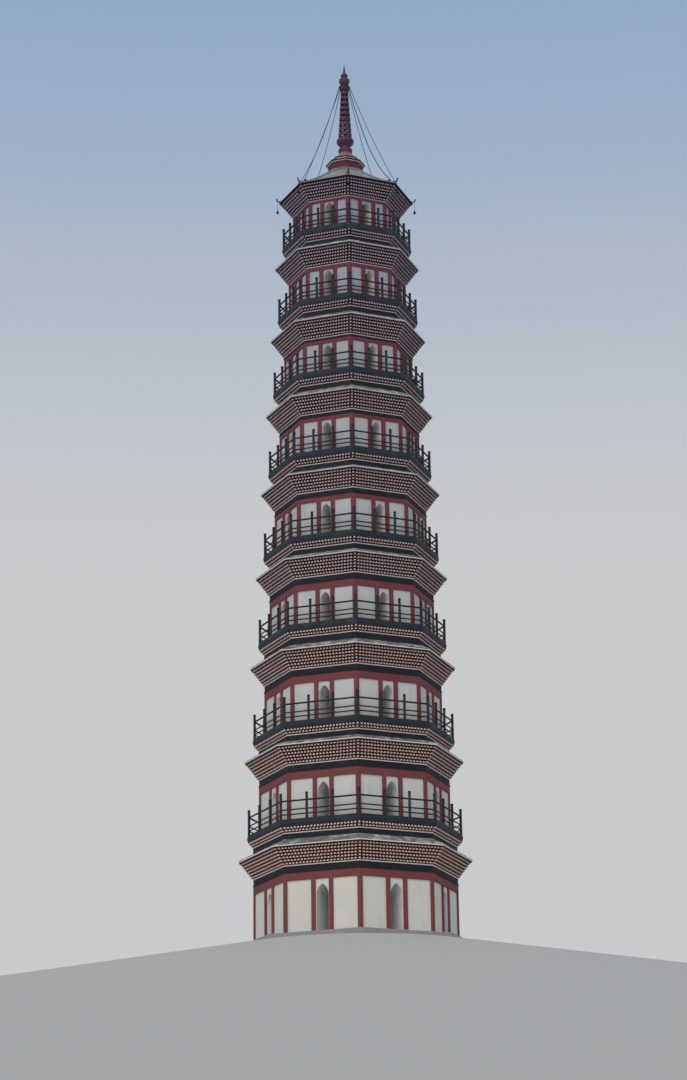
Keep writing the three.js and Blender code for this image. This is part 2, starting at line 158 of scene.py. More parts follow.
def patches_group():
    """Cloudy patches of fading, damp or repair, of one size in metres."""
    tree, given, result = new_group("patches", {"Scale": 1.0, "Cover": 0.5, "Amount": 0.5}, ["Mask"])
    place = add_node(tree, "ShaderNodeTexCoord")
    noise = add_node(tree, "ShaderNodeTexNoise", Detail=6.0, Roughness=0.58, Distortion=0.4)
    edge = add_node(tree, "ShaderNodeMath", operation="SUBTRACT")
    edge.inputs[0].default_value = 1.0
    softer = add_node(tree, "ShaderNodeMath", operation="ADD")
    softer.inputs[1].default_value = PATCH_SOFTNESS
    spread = add_node(tree, "ShaderNodeMapRange", interpolation_type="SMOOTHSTEP")
    strength = add_node(tree, "ShaderNodeMath", operation="MULTIPLY")
    link = tree.links.new
    link(place.outputs["Object"], noise.inputs["Vector"])
    link(given.outputs["Scale"], noise.inputs["Scale"])
    link(given.outputs["Cover"], edge.inputs[1])
    link(edge.outputs[0], spread.inputs["From Min"])
    link(edge.outputs[0], softer.inputs[0])
    link(softer.outputs[0], spread.inputs["From Max"])
    link(noise.outputs["Fac"], spread.inputs["Value"])
    link(spread.outputs["Result"], strength.inputs[0])
    link(given.outputs["Amount"], strength.inputs[1])
    link(strength.outputs[0], result.inputs["Mask"])
    return tree


def grit_group():
    """The fine roughness of mortar or brushed paint, as a height."""
    tree, given, result = new_group("grit", {"Scale": 30.0}, ["Height"])
    place = add_node(tree, "ShaderNodeTexCoord")
    fine = add_node(tree, "ShaderNodeTexNoise", Detail=8.0, Roughness=0.7)
    tree.links.new(place.outputs["Object"], fine.inputs["Vector"])
    tree.links.new(given.outputs["Scale"], fine.inputs["Scale"])
    tree.links.new(fine.outputs["Fac"], result.inputs["Height"])
    return tree


RAIN_STREAKS = rain_streaks_group()
PATCHES = patches_group()
GRIT = grit_group()


def weathered(name, colour, stain, faded, streaks, patches, grit, roughness=0.85, metallic=0.0):
    """Paint, plaster or stone with rain streaks, faded patches and a gritty surface."""
    material = bpy.data.materials.new(name)
    material.use_nodes = True
    tree = material.node_tree
    shader = tree.nodes["Principled BSDF"]
    shader.inputs["Metallic"].default_value = metallic
    across, down, streak_cover, streak_amount = streaks
    run = use_group(tree, RAIN_STREAKS, Across=across, Down=down, Cover=streak_cover, Amount=streak_amount)
    scale, patch_cover, patch_amount = patches
    cloud = use_group(tree, PATCHES, Scale=scale, Cover=patch_cover, Amount=patch_amount)
    fade = add_node(tree, "ShaderNodeMix", data_type="RGBA")
    fade.inputs[6].default_value = colour
    fade.inputs[7].default_value = faded
    soil = add_node(tree, "ShaderNodeMix", data_type="RGBA")
    soil.inputs[7].default_value = stain
    shine = add_node(tree, "ShaderNodeMapRange")
    shine.inputs["To Min"].default_value = roughness
    shine.inputs["To Max"].default_value = max(SMOOTHEST, roughness - WORN_SMOOTHER)
    fineness, depth = grit
    rough = use_group(tree, GRIT, Scale=fineness)
    bump = add_node(tree, "ShaderNodeBump", Strength=0.6, Distance=depth)
    link = tree.links.new
    link(cloud.outputs["Mask"], fade.inputs[0])
    link(fade.outputs[2], soil.inputs[6])
    link(run.outputs["Mask"], soil.inputs[0])
    link(soil.outputs[2], shader.inputs["Base Color"])
    link(cloud.outputs["Mask"], shine.inputs["Value"])
    link(shine.outputs["Result"], shader.inputs["Roughness"])
    link(rough.outputs["Height"], bump.inputs["Height"])
    link(bump.outputs["Normal"], shader.inputs["Normal"])
    return material


def finish_piece(bm, name, material, node):
    """The bmesh as a piece at the origin that rides on the tower and stands for a CAD node."""
    bmesh.ops.remove_doubles(bm, verts=bm.verts, dist=WELD)
    bmesh.ops.recalc_face_normals(bm, faces=bm.faces)
    mesh = bpy.data.meshes.new(name)
    bm.to_mesh(mesh)
    bm.free()
    mesh.materials.append(material)
    piece = bpy.data.objects.new(name, mesh)
    scene.collection.objects.link(piece)
    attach(piece, "root")
    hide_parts(node)
    return piece


def soften(bm, width, steepest=radians(20)):
    """Rounds every edge that is sharper than a shallow fold."""
    sharp = [edge for edge in bm.edges if edge.is_manifold and edge.calc_face_angle(0) > steepest]
    bmesh.ops.bevel(bm, geom=sharp, offset=width, segments=2, profile=0.5, affect="EDGES", material=-1,
                    clamp_overlap=True)


def merged_node(name):
    """A CAD node's shape with its loose triangles joined into whole flat faces."""
    bm = bmesh.new()
    bm.from_mesh(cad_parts[name].data)
    bmesh.ops.remove_doubles(bm, verts=bm.verts, dist=WELD)
    bmesh.ops.dissolve_limit(bm, angle_limit=FLAT_WITHIN, verts=bm.verts, edges=bm.edges)
    return bm


plinth_stone = weathered(
    "plinth_stone", linear(158, 153, 145), linear(92, 86, 78), linear(176, 172, 166),
    streaks=(2.6, 1.2, 0.42, 0.5), patches=(1.4, 0.5, 0.6), grit=(22.0, 0.004))
plinth = merged_node("plinth")
soften(plinth, PLINTH_WEAR)
finish_piece(plinth, "plinth_steps", plinth_stone, "plinth")

# Walls. Brick, limewashed: one ring a storey from its floor to the next one, with a pointed
# doorway through every side. The passages take a whiter limewash, painted light that
# brightens their dim insides.
STOREYS = range(1, 10)
TOP = 9
INNER_SHARE = 0.6
EAVE_TIPS = (2.78, 5.66, 8.45, 11.19, 13.805, 16.28, 18.71, 21.09, 23.29)
LINTELS = (0.215, 0.215, 0.215, 0.195, 0.138, 0.11, 0.106, 0.1, 0.062)
CORBEL_HEIGHT = 0.545
TOP_CORBEL_HEIGHT = 0.5
FLOOR_THICKNESS = 0.15
BAY_SHARE = 0.177
BAY_LEAST = 0.312
BAY_OVER_DOOR = 0.04
MEASURED_STOREY = 3
APEX_UNDER_LINTEL = 0.11
APEX_RISE = 0.014
ARCH_RISE_SHARE = 0.85
ARCH_STEPS = 8
FRAME_RELIEF = 0.04
CUT_BELOW = 0.02
CUT_PAST = 0.1
# The top tone is darker and bluer than the foot's: painted shade and haze light up there.
LIMEWASH_LOW = Vector((228, 224, 213))
LIMEWASH_HIGH = Vector((168, 173, 183))


def storey_sizes(number):
    """The heights and half-widths across the flats of one storey, read from its nodes."""
    frame_low, frame_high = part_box(f"storey_{number}_frame")
    eave_low, eave_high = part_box(f"storey_{number}_eave")
    flat = frame_high[0]
    tip = EAVE_TIPS[number - 1]
    side = 2 * flat * tan(CORNER)
    bay = max(BAY_LEAST, side * BAY_SHARE)
    lintel_foot = eave_low[2] - LINTELS[number - 1]
    return {
        "deck": frame_low[2], "flat": flat, "tip": tip, "eave": eave_high[0],
        "inner": INNER_SHARE * flat, "wall_top": eave_low[2], "door": bay - BAY_OVER_DOOR,
        "apex": lintel_foot - APEX_UNDER_LINTEL + APEX_RISE * (number - MEASURED_STOREY),
        "corbel_foot": tip - (TOP_CORBEL_HEIGHT if number == TOP else CORBEL_HEIGHT),
        "deck_above": eave_high[2],
        "ceiling": eave_high[2] - FLOOR_THICKNESS if number < TOP else tip,
    }


storeys = {number: storey_sizes(number) for number in STOREYS}


def spin_outline(bm, outline, steps=SIDES, closed=True):
    """Spins [half-width, height] points about the tower's axis, eight-sided or round."""
    start = CORNER if steps == SIDES else 0.0
    reach = 1 / FLAT_PER_CORNER if steps == SIDES else 1.0
    points = [
        bm.verts.new((wide * reach * sin(start), -wide * reach * cos(start), height))
        for wide, height in outline
    ]
    following = points[1:] + points[:1] if closed else points[1:]
    edges = [bm.edges.new(pair) for pair in zip(points, following)]
    bmesh.ops.spin(bm, geom=points + edges, cent=(0, 0, 0), axis=(0, 0, 1), dvec=(0, 0, 0),
                   angle=2 * pi, steps=steps, use_merge=True, use_duplicate=False)
    bmesh.ops.remove_doubles(bm, verts=bm.verts, dist=WELD)


def ring(inner, outer, low, high):
    """The closed outline of a plain ring."""
    return [(inner, low), (outer, low), (outer, high), (inner, high)]


def copied_round(bm, geometry):
    """Repeats some geometry about the axis, once for each side."""
    bmesh.ops.spin(bm, geom=geometry, cent=(0, 0, 0), axis=(0, 0, 1), dvec=(0, 0, 0),
                   angle=2 * pi * (SIDES - 1) / SIDES, steps=SIDES - 1, use_merge=False,
                   use_duplicate=True)


def add_prism(bm, corners, along):
    """A flat face given by its corners, extruded along a vector into a closed block."""
    face = bm.faces.new([bm.verts.new(corner) for corner in corners])
    made = bmesh.ops.extrude_face_region(bm, geom=[face], use_keep_orig=True)
    far = [item for item in made["geom"] if isinstance(item, bmesh.types.BMVert)]
    bmesh.ops.translate(bm, verts=far, vec=along)
    block = set(far) | set(face.verts)
    faces = {found for vert in block for found in vert.link_faces}
    edges = {found for vert in block for found in vert.link_edges}
    return list(block) + list(edges) + list(faces)


def arch_corners(width, foot, apex, y):
    """The outline of a pointed doorway: jambs, then two arcs that meet at the apex."""
    half = width / 2
    rise = width * ARCH_RISE_SHARE
    offset = (rise * rise - half * half) / width
    sweep = Vector((offset, rise)).angle(Vector((1, 0)))
    springing = apex - rise
    right = [
        (-offset + (half + offset) * cos(sweep * step / ARCH_STEPS),
         springing + (half + offset) * sin(sweep * step / ARCH_STEPS))
        for step in range(ARCH_STEPS + 1)
    ]
    left = [(-x, z) for x, z in reversed(right[:-1])]
    return [(x, y, z) for x, z in [(-half, foot), (half, foot)] + right + left]


def cut_with(piece, cutter_bm):
    """Takes the cutter's blocks out of the piece for good."""
    bmesh.ops.recalc_face_normals(cutter_bm, faces=cutter_bm.faces)
    mesh = bpy.data.meshes.new("cutter")
    cutter_bm.to_mesh(mesh)
    cutter_bm.free()
    for material in piece.data.materials:
        mesh.materials.append(material)
    cutter = bpy.data.objects.new("cutter", mesh)
    scene.collection.objects.link(cutter)
    cut = piece.modifiers.new("doorways", "BOOLEAN")
    cut.object = cutter
    cut.operation = "DIFFERENCE"
    cut.solver = "EXACT"
    bpy.context.view_layer.update()
    finished = piece.evaluated_get(bpy.context.evaluated_depsgraph_get())
    result = bpy.data.meshes.new_from_object(finished)
    piece.modifiers.clear()
    piece.data = result
    bpy.data.objects.remove(cutter)


def height_share(number):
    """How far up the tower a storey is: 0 for the ground floor, 1 for the top storey."""
    return (number - 1) / (TOP - 1)


def limewash(number):
    """Limewash of one storey, darker and bluer towards the top: painted shade and bluish haze light."""
    tone = LIMEWASH_LOW.lerp(LIMEWASH_HIGH, height_share(number))
    return weathered(
        f"limewash_{number}", linear(*tone), linear(*(tone * 0.74)), linear(*(tone * 1.05)),
        streaks=(5.5, 0.5, 0.45, 0.45), patches=(1.1, 0.54, 0.7), grit=(16.0, 0.006))


# A whiter limewash: painted light in the passages, and the drum's white lines.
white_limewash_and_light = weathered(
    "white_limewash_and_light", linear(239, 238, 236), linear(190, 189, 188), linear(248, 247, 245),
    streaks=(7.0, 1.0, 0.5, 0.6), patches=(2.6, 0.5, 0.6), grit=(16.0, 0.006))
for number, size in storeys.items():
    bm = bmesh.new()
    skin = size["flat"] - FRAME_RELIEF
    spin_outline(bm, ring(size["inner"], skin, size["deck"], size["ceiling"]))
    wall = finish_piece(bm, f"storey_{number}_limewashed_wall", limewash(number),
                        f"storey_{number}_wall")
    cutter = bmesh.new()
    doorway = arch_corners(size["door"], size["deck"] - CUT_BELOW, size["apex"], -(skin + CUT_PAST))
    copied_round(cutter, add_prism(cutter, doorway, (0, skin - size["inner"] + 2 * CUT_PAST, 0)))
    # The passage faces take the whiter limewash, painted light that brightens their dim insides.
    for face in cutter.faces:
        face.material_index = 1
    wall.data.materials.append(white_limewash_and_light)
    cut_with(wall, cutter)

# Frames. Red-painted pilasters at the corners and beside each doorway, under a lintel
# band. They stand out of the wall by their own thickness, and their edges are a bit worn.
RED_LOW = Vector((126, 65, 65))
RED_HIGH = Vector((117, 52, 70))
FRAME_WEAR = 0.004
for number in STOREYS:
    red = RED_LOW.lerp(RED_HIGH, height_share(number))
    red_paint = weathered(
        f"red_paint_{number}", linear(*red), linear(*(red * 0.6)), linear(*(red * 1.12)),
        streaks=(6.0, 0.7, 0.42, 0.6), patches=(1.8, 0.48, 0.45), grit=(26.0, 0.003), roughness=0.75)
    bm = merged_node(f"storey_{number}_frame")
    soften(bm, FRAME_WEAR)
    finish_piece(bm, f"storey_{number}_red_frame", red_paint, f"storey_{number}_frame")

# Friezes. A dark painted band under each eave, with a thin moulding along its foot. The top
# two storeys have none, because the lintel meets the corbels there.
band_paint = weathered(
    "dark_band_paint", linear(32, 32, 41), linear(18, 18, 24), linear(48, 48, 58),
    streaks=(5.0, 0.8, 0.45, 0.6), patches=(2.2, 0.5, 0.5), grit=(24.0, 0.003), roughness=0.8)
FRIEZE_MOULDING = 0.018
FRIEZE_RECESS = 0.006
for number, size in storeys.items():
    height = size["corbel_foot"] - size["wall_top"]
    if height < 2 * FRIEZE_MOULDING:
        continue
    bm = bmesh.new()
    face = size["flat"]
    back = face - FRAME_RELIEF
    low = size["wall_top"]
    spin_outline(bm, [
        (back, low), (face + FRIEZE_MOULDING, low), (face + FRIEZE_MOULDING, low + FRIEZE_MOULDING),
        (face - FRIEZE_RECESS, low + 1.8 * FRIEZE_MOULDING), (face - FRIEZE_RECESS, low + height),
        (back, low + height),
    ])
    finish_piece(bm, f"storey_{number}_frieze", band_paint, f"storey_{number}_eave")

# Corbelled eaves. A light course at the foot, then rows of narrow bricks set endways between
# plain dark courses, each row further out than the one below. The bricks' noses are painted
# cream over worn cheeks, and the wall shows red between them, or brown under a balcony. The
# courses and the bricks' undersides are dark red paint, darkened with painted shade.
BACKING = 0.1
TOOTH_PITCHES = (0.1, 0.083)
TOOTH_SHARE = 0.6
NOSE_SHARE = 0.8
EAVE_TEETH = (0.3, 0.8)
BALCONY_TEETH = (0.4, 0.96)
EAVE_ROWS = 6
EAVE_TOP_COURSE = 0.3
LIGHT_COURSE = 0.028
LIGHT_COURSE_PROUD = 0.012
LIGHT_COURSE_BACK = 0.02
LIGHT_COURSE_WEAR = 0.003
LAST_COURSE_BACK = 0.014
TOOTH_PROUD = 0.01
TOOTH_ROOT = 0.004
TEETH_UNDER_EDGE = 0.02
# Tints that darken and blue the corbel paints towards the top: painted haze light.
HAZE_TINT_LOW = Vector((1, 0.92, 0.9))
HAZE_TINT_HIGH = Vector((0.78, 0.77, 0.89))
# The light courses also darken and turn bluer towards the top: painted haze light.
LIGHT_LOW = Vector((248, 240, 228))
LIGHT_HIGH = Vector((192, 184, 194))


def cooler(number, *tone):
    """A paint's colour on one storey, darker and bluer towards the top as painted haze light."""
    haze_tint = HAZE_TINT_LOW.lerp(HAZE_TINT_HIGH, height_share(number))
    return linear(*(channel * tint for channel, tint in zip(tone, haze_tint)))


def light_line_paint(number):
    """The off-white of the thin courses that edge each corbel, on one storey, darker and bluer towards the
    top as painted haze light.
    """
    tone = LIGHT_LOW.lerp(LIGHT_HIGH, height_share(number))
    return weathered(
        f"light_course_paint_{number}", linear(*tone), linear(*(tone * 0.62)), linear(*(tone * 0.9)),
        streaks=(5.0, 3.0, 0.42, 0.5), patches=(2.0, 0.5, 0.4), grit=(26.0, 0.003))


def mixed_paints(number):
    """Cream noses, worn cheeks, dark courses with painted shade, red gaps, brown balconies, of one storey.
    """
    noses = weathered(
        f"tooth_nose_paint_{number}", cooler(number, 254, 242, 230), cooler(number, 200, 172, 160),
        cooler(number, 232, 214, 202),
        streaks=(9.0, 9.0, 0.42, 0.5), patches=(3.0, 0.5, 0.5), grit=(30.0, 0.003))
    cheeks = weathered(
        f"tooth_cheek_paint_{number}", cooler(number, 224, 202, 196), cooler(number, 138, 112, 108),
        cooler(number, 232, 214, 208),
        streaks=(9.0, 9.0, 0.45, 0.6), patches=(3.0, 0.5, 0.5), grit=(30.0, 0.003))
    # Near-black courses: dark maroon paint deepened into painted shadow between the rows.
    courses = weathered(
        f"dark_course_paint_{number}", cooler(number, 50, 28, 30), cooler(number, 30, 19, 22),
        cooler(number, 70, 42, 44),
        streaks=(4.0, 4.0, 0.45, 0.6), patches=(2.4, 0.5, 0.5), grit=(26.0, 0.004))
    gaps = weathered(
        f"red_gap_paint_{number}", cooler(number, 142, 66, 60), cooler(number, 84, 42, 42),
        cooler(number, 158, 84, 76),
        streaks=(6.0, 4.0, 0.45, 0.6), patches=(3.0, 0.5, 0.5), grit=(26.0, 0.004))
    browns = weathered(
        f"brown_course_paint_{number}", cooler(number, 100, 58, 52), cooler(number, 58, 36, 36),
        cooler(number, 130, 78, 68),
        streaks=(6.0, 4.0, 0.45, 0.6), patches=(3.0, 0.5, 0.5), grit=(26.0, 0.004))
    return noses, cheeks, courses, gaps, browns


def tooth_corners(half, back, front, height):
    """One brick laid endways, seen from below: a wide back and a narrower nose."""
    nose = half * NOSE_SHARE
    outline = [(-half, -back), (-nose, -front), (nose, -front), (half, -back)]
    return [Vector((x, y, height)) for x, y in outline]


def merge_into(bm, part):
    """Adds a finished part to a bmesh, and frees the part."""
    mesh = bpy.data.meshes.new("part")
    part.to_mesh(mesh)
    part.free()
    bm.from_mesh(mesh)
    bpy.data.meshes.remove(mesh)


def everything(bm):
    """All of a bmesh, for an operator."""
    return list(bm.verts) + list(bm.edges) + list(bm.faces)


def add_teeth(bm, flat, depth, low, high, spacing):
    """One row of bricks set endways along all eight sides, with one on each corner."""
    row = bmesh.new()
    rise = (0, 0, high - low)
    length = 2 * flat * tan(CORNER)
    count = max(3, round(length / spacing) - 1)
    pitch = length / (count + 1)
    half = pitch * TOOTH_SHARE / 2
    corners = tooth_corners(half, flat - TOOTH_ROOT, flat + depth, low)
    first = Vector((-pitch * (count - 1) / 2, 0, 0))
    tooth = add_prism(row, [first + corner for corner in corners], rise)
    bmesh.ops.spin(row, geom=tooth, cent=(0, 0, 0), axis=(0, 0, 1), dvec=(pitch, 0, 0), angle=0,
                   steps=count - 1, use_merge=False, use_duplicate=True)
    corner = flat / FLAT_PER_CORNER
    place = Matrix.Rotation(CORNER, 4, "Z")
    shape = tooth_corners(half, corner - half * sin(CORNER) - TOOTH_ROOT, corner + depth, low)
    add_prism(row, [place @ point for point in shape], rise)
    bmesh.ops.recalc_face_normals(row, faces=row.faces)
    outward = (Vector((0, -1, 0)), place @ Vector((0, -1, 0)))
    for face in row.faces:
        # Undersides take the dark course paint: dark red paint with painted shade under each brick.
        if face.normal.z < -0.5:
            face.material_index = 2
        elif max(face.normal.dot(way) for way in outward) < 0.9:
            face.material_index = 1
    copied_round(row, everything(row))
    merge_into(bm, row)


def corbel(number, part, rows, top_course, teeth_span, low, high, near, far, node):
    """A light course and rows of teeth that step out from one half-width to another."""
    noses, cheeks, dark_courses, gaps, browns = corbel_paints[number]
    first = low + LIGHT_COURSE
    row_height = (high - first) / (rows + top_course)
    step = (far - near) / (rows + (1 if top_course else 0))
    back = near - BACKING
    spacing = TOOTH_PITCHES[0] + (TOOTH_PITCHES[1] - TOOTH_PITCHES[0]) * (number - 1) / (TOP - 1)
    light = bmesh.new()
    spin_outline(light, ring(near - LIGHT_COURSE_BACK, near + LIGHT_COURSE_PROUD, low, first))
    soften(light, LIGHT_COURSE_WEAR)
    finish_piece(light, f"storey_{number}_{part}_light_course", light_paints[number], node)
    teeth = bmesh.new()
    outline = [(back, first)]
    foot = first
    flat = near
    spans = []
    for row in range(rows):
        teeth_low, teeth_high = (first + (row + share) * row_height for share in teeth_span)
        add_teeth(teeth, flat, step + TOOTH_PROUD, teeth_low, teeth_high, spacing)
        outline += [(flat, foot), (flat, teeth_low), (flat, teeth_high)]
        spans.append((teeth_low, teeth_high))
        foot = teeth_high
        flat += step
    if top_course:
        last = far - LAST_COURSE_BACK
        outline += [(last, foot), (last, high)]
    outline.append((back, high))
    courses = bmesh.new()
    spin_outline(courses, outline)
    bmesh.ops.recalc_face_normals(courses, faces=courses.faces)
    for face in courses.faces:
        height = face.calc_center_median().z
        gap = part == "balcony" or any(span[0] < height < span[1] for span in spans)
        if abs(face.normal.z) < 0.1 and gap:
            face.material_index = 1
    painted = finish_piece(courses, f"storey_{number}_{part}_courses", dark_courses, node)
    painted.data.materials.append(browns if part == "balcony" else gaps)
    painted = finish_piece(teeth, f"storey_{number}_{part}_teeth", noses, node)
    painted.data.materials.append(cheeks)
    painted.data.materials.append(dark_courses)


corbel_paints = {number: mixed_paints(number) for number in STOREYS}
light_paints = {number: light_line_paint(number) for number in STOREYS}
EAVE_EDGE = 0.04
TOP_EDGE = 0.012
TOP_COURSE_OF_TOP_EAVE = 0.12
for number, size in storeys.items():
    edge, course = (TOP_EDGE, TOP_COURSE_OF_TOP_EAVE) if number == TOP else (EAVE_EDGE, EAVE_TOP_COURSE)
    corbel(number, "eave", EAVE_ROWS, course, EAVE_TEETH, size["corbel_foot"], size["tip"] - edge,
           size["flat"], size["eave"] - TEETH_UNDER_EDGE, f"storey_{number}_eave")

# Eave skirts. A light painted drip course on each corbelled eave, and grey mortar laid in a
# slope from a groove behind it up to the wall.
SKIRTS_UNDER_DECK = (0.518, 0.518, 0.56, 0.518, 0.518, 0.518, 0.518, 0.518)
DRIP_GROOVE = 0.012
DRIP_WEAR = 0.006
SKIRT_EDGE = [(0.03, -DRIP_GROOVE), (0.03, 0), (0.012, 0), (0.02, 0.02)]
mortar = weathered(
    "skirt_mortar", linear(128, 121, 114), linear(60, 54, 58), linear(218, 213, 203),
    streaks=(4.0, 9.0, 0.56, 0.85), patches=(3.4, 0.56, 0.95), grit=(22.0, 0.015))
for number, size in storeys.items():
    if number == TOP:
        continue
    bm = bmesh.new()
    tip = size["tip"]
    reach = size["eave"]
    back = size["flat"] - BACKING
    skirt_top = size["deck_above"] - SKIRTS_UNDER_DECK[number - 1]
    spin_outline(bm, ring(back, reach, tip - EAVE_EDGE, tip - DRIP_GROOVE))
    soften(bm, DRIP_WEAR)
    finish_piece(bm, f"storey_{number}_drip_edge", light_paints[number],
                 f"storey_{number}_eave")
    bm = bmesh.new()
    edge_line = [(reach - inward, tip + up) for inward, up in SKIRT_EDGE]
    spin_outline(bm, [
        (back, tip - DRIP_GROOVE), *edge_line, (size["flat"], skirt_top), (back, skirt_top),
    ])
    finish_piece(bm, f"storey_{number}_eave_skirt", mortar, f"storey_{number}_eave")

# Dark bands and balcony corbels. Above each skirt the wall shows as a dark painted band,
# then a light course and two more rows of teeth carry the balcony floor.
BAND_UNDER_DECK = 0.367
FASCIA_UNDER_DECK = 0.202
FASCIA_WIDTH = 0.13
BALCONY_ROWS = 2
BEAM_BEDDING = 0.002
TEETH_UNDER_BEAM = 0.04
floor_mortar = weathered(
    "floor_mortar", linear(140, 136, 130), linear(84, 80, 76), linear(158, 154, 148),
    streaks=(3.0, 3.0, 0.45, 0.5), patches=(1.2, 0.5, 0.5), grit=(18.0, 0.006))
for number, size in storeys.items():
    if number == TOP:
        continue
    deck = size["deck_above"]
    band_top = deck - BAND_UNDER_DECK
    fascia_bottom = deck - FASCIA_UNDER_DECK
    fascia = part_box(f"storey_{number + 1}_railing")[1][0]
    eave = f"storey_{number}_eave"
    bm = bmesh.new()
    back = size["flat"] - BACKING
    spin_outline(bm, ring(back, size["flat"], deck - SKIRTS_UNDER_DECK[number - 1], band_top))
    finish_piece(bm, f"storey_{number}_dark_band", band_paint, eave)
    corbel(number, "balcony", BALCONY_ROWS, 0, BALCONY_TEETH, band_top, fascia_bottom - BEAM_BEDDING,
           size["flat"], fascia - TEETH_UNDER_BEAM, eave)
    bm = bmesh.new()
    under = size["ceiling"]
    spin_outline(bm, [
        (0, under), (back, under), (back, fascia_bottom),
        (fascia - FASCIA_WIDTH, fascia_bottom), (fascia - FASCIA_WIDTH, deck), (0, deck),
    ], closed=False)
    finish_piece(bm, f"storey_{number + 1}_floor", floor_mortar, eave)

# Railings. A dark painted beam with a rounded nose edges each balcony floor. It carries
# turned posts that end in a flat round cap, and three round rails, the top one thicker.
BEAM_FACE = [(0.028, 0.0), (0.006, 0.07), (0.0, 0.09), (0.0, 0.14), (0.014, 0.158)]
BEAM_TOP_BACK = 0.014
BEAM_OVER_FLOOR = 0.012
POST_RADIUS = 0.039
POST_INSET = 0.056
POST_SEGMENTS = 10
POST_PROFILE = [
    (0, 0), (1.1, 0), (1.1, 0.03), (0.97, 0.045), (0.95, 0.87), (1.06, 0.885), (1.06, 0.9), (0.78, 0.915),
    (0.78, 0.925), (1.12, 0.945), (1.15, 0.965), (1.08, 0.985), (0.7, 1.0), (0, 1.0),
]
RAIL_SHARES = (0.7, 0.365, 0.18)
RAIL_RADII = (0.026, 0.02, 0.02)
RAIL_SEGMENTS = 8
dark_paint = weathered(
    "dark_blue_paint", linear(37, 43, 53), linear(23, 26, 33), linear(72, 74, 80),
    streaks=(5.0, 0.8, 0.45, 0.6), patches=(2.6, 0.48, 0.55), grit=(24.0, 0.003), roughness=0.7)
railing_paint = weathered(
    "railing_paint", linear(25, 27, 33), linear(15, 16, 20), linear(42, 46, 54),
    streaks=(8.0, 1.5, 0.42, 0.5), patches=(5.0, 0.5, 0.45), grit=(40.0, 0.002), roughness=0.55)


def add_turned(bm, profile, place, steps):
    """A round shape turned about its own upright line, set in its place."""
    part = bmesh.new()
    points = [part.verts.new((wide, 0, up)) for wide, up in profile]
    edges = [part.edges.new(pair) for pair in zip(points, points[1:])]
    bmesh.ops.spin(part, geom=points + edges, cent=(0, 0, 0), axis=(0, 0, 1), dvec=(0, 0, 0),
                   angle=2 * pi, steps=steps, use_merge=True, use_duplicate=False)
    bmesh.ops.remove_doubles(part, verts=part.verts, dist=WELD)
    bmesh.ops.translate(part, verts=part.verts, vec=place)
    merge_into(bm, part)


for number in STOREYS:
    if number == 1:
        continue
    node = f"storey_{number}_railing"
    low_corner, high_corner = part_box(node)
    fascia = high_corner[0]
    deck = storeys[number]["deck"]
    bottom = low_corner[2]
    bm = bmesh.new()
    lip = deck + BEAM_OVER_FLOOR
    inner = fascia - FASCIA_WIDTH
    face = [(fascia - inward, bottom + up) for inward, up in BEAM_FACE]
    spin_outline(bm, [(inner, bottom), *face, (fascia - BEAM_TOP_BACK, lip), (inner, lip)])
    finish_piece(bm, f"storey_{number}_balcony_beam", dark_paint, node)
    corner = fascia / FLAT_PER_CORNER - POST_INSET
    middle = corner * FLAT_PER_CORNER
    third = 2 * corner * sin(CORNER) / 3
    tall = high_corner[2] - lip
    post = [(POST_RADIUS * wide, tall * up) for wide, up in POST_PROFILE]
    bm = bmesh.new()
    for x, y in ((corner * sin(CORNER), -corner * cos(CORNER)), (-third / 2, -middle), (third / 2, -middle)):
        add_turned(bm, post, (x, y, lip), POST_SEGMENTS)
    copied_round(bm, everything(bm))
    for share, radius in zip(RAIL_SHARES, RAIL_RADII):
        height = lip + tall * share
        turns = [2 * pi * step / RAIL_SEGMENTS for step in range(RAIL_SEGMENTS)]
        rail = bmesh.new()
        spin_outline(rail, [(middle + radius * cos(turn), height + radius * sin(turn)) for turn in turns])
        merge_into(bm, rail)
    finish_piece(bm, f"storey_{number}_posts_and_rails", railing_paint, node)

# Top roof. Grey mortar laid in one concave slope a side, streaked by rain, over the thin
# dark painted edge that closes the last row of corbels.
ROOF_EDGE = 0.03
ROOF_EDGE_BACK = 0.004
ROOF_RISE = 0.925
ROOF_TOP_CORNER = 0.545
ROOF_POWER = 1.3
ROOF_STEPS = 16
ROOF_EDGE_WEAR = 0.004
VAULT_RISE = 0.56
VAULT_HALF = 0.28
roof_mortar = weathered(
    "roof_mortar", linear(150, 148, 145), linear(76, 72, 74), linear(206, 203, 197),
    streaks=(5.0, 4.0, 0.5, 0.8), patches=(3.6, 0.5, 0.75), grit=(16.0, 0.014))
top = storeys[TOP]
eave_corner = top["eave"] / FLAT_PER_CORNER


def roof_height(corner):
    """How high a hip of the roof is at one distance from the tower's axis."""
    climbed = max(0.0, (eave_corner - corner) / (eave_corner - ROOF_TOP_CORNER))
    return top["tip"] + ROOF_EDGE + ROOF_RISE * climbed ** ROOF_POWER


hip_line = [
    eave_corner + (ROOF_TOP_CORNER - eave_corner) * step / ROOF_STEPS
    for step in range(ROOF_STEPS + 1)
]
slope = [(corner * FLAT_PER_CORNER, roof_height(corner)) for corner in hip_line]
slope[0] = (top["eave"] - ROOF_EDGE_BACK, slope[0][1])
bm = bmesh.new()
spin_outline(bm, [
    (0, top["tip"] + VAULT_RISE), (VAULT_HALF, top["tip"] + VAULT_RISE), (top["inner"], top["tip"]),
    (top["eave"] - ROOF_EDGE_BACK, top["tip"]), *slope, (0, slope[-1][1]),
], closed=False)
finish_piece(bm, "roof_slopes", roof_mortar, "roof")
bm = bmesh.new()
spin_outline(bm, ring(top["flat"] - BACKING, top["eave"], top["tip"] - TOP_EDGE,
                      top["tip"] + 0.5 * ROOF_EDGE))
soften(bm, ROOF_EDGE_WEAR)
finish_piece(bm, "roof_edge", band_paint, "storey_9_eave")

